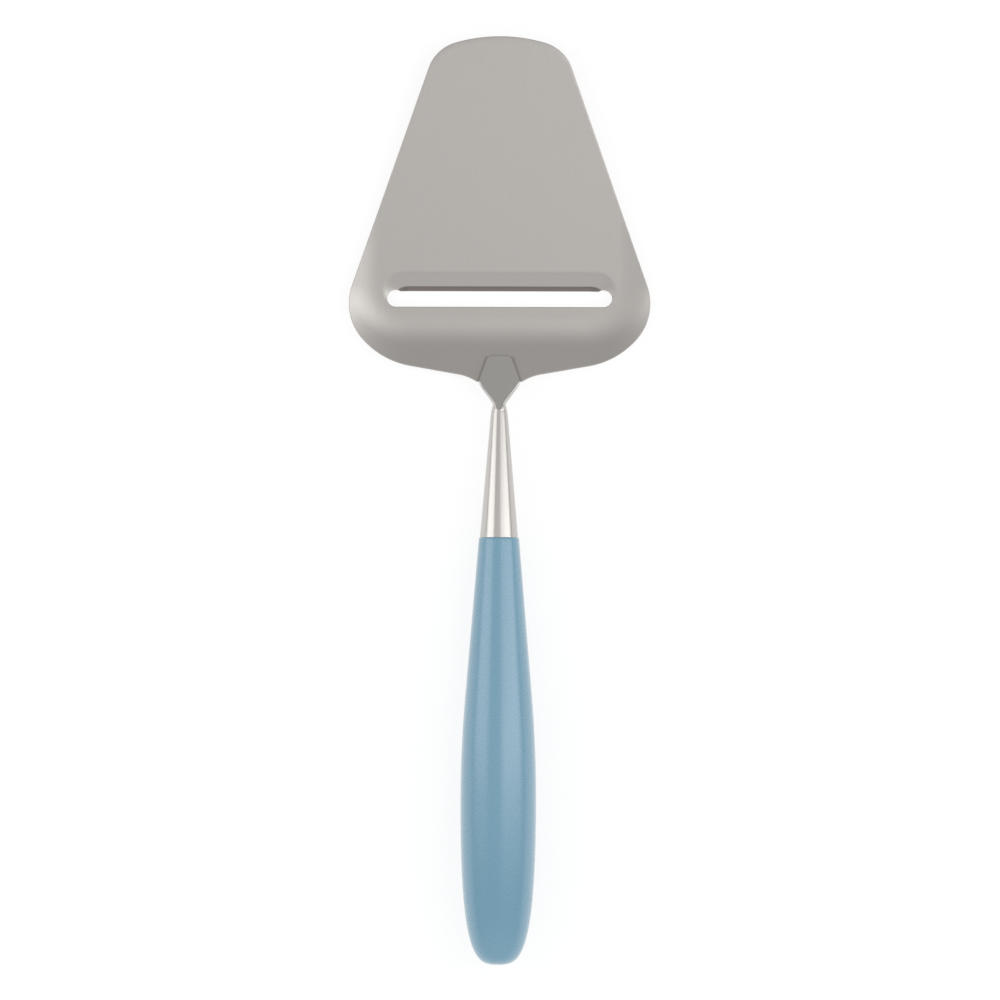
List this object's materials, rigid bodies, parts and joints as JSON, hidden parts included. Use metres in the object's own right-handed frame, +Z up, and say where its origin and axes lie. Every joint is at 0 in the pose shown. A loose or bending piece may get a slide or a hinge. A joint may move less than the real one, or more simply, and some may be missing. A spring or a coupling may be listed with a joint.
{
  "type": "cheese slicer",
  "caption": "Hand-held cheese slicer with a dished spade-shaped steel blade, a cutting lip along its cross slot, a slim tapered steel stem and a round moulded grip.",
  "frame": {"origin": "on the surface that the slicer lies on, under the middle of its box", "axes": "+Y along the slicer towards the blade's tip, +Z up, +X to the right as seen from above with the tip ahead"},
  "size_m": [0.0754, 0.232, 0.0193],
  "materials": {
    "blade_steel": "satin, with a ground bevel on the cutting lip",
    "stem_steel": "bright satin",
    "tang_steel": "plain, as drawn",
    "grip_plastic": "fine-grained matte, pale greyish blue",
    "weld_steel": "fused, hidden"
  },
  "bodies": {
    "root": {"blade": "blade_steel", "stem": "stem_steel", "tang": "tang_steel", "grip": "grip_plastic", "weld_spots": "weld_steel"}
  },
  "joints": []
}
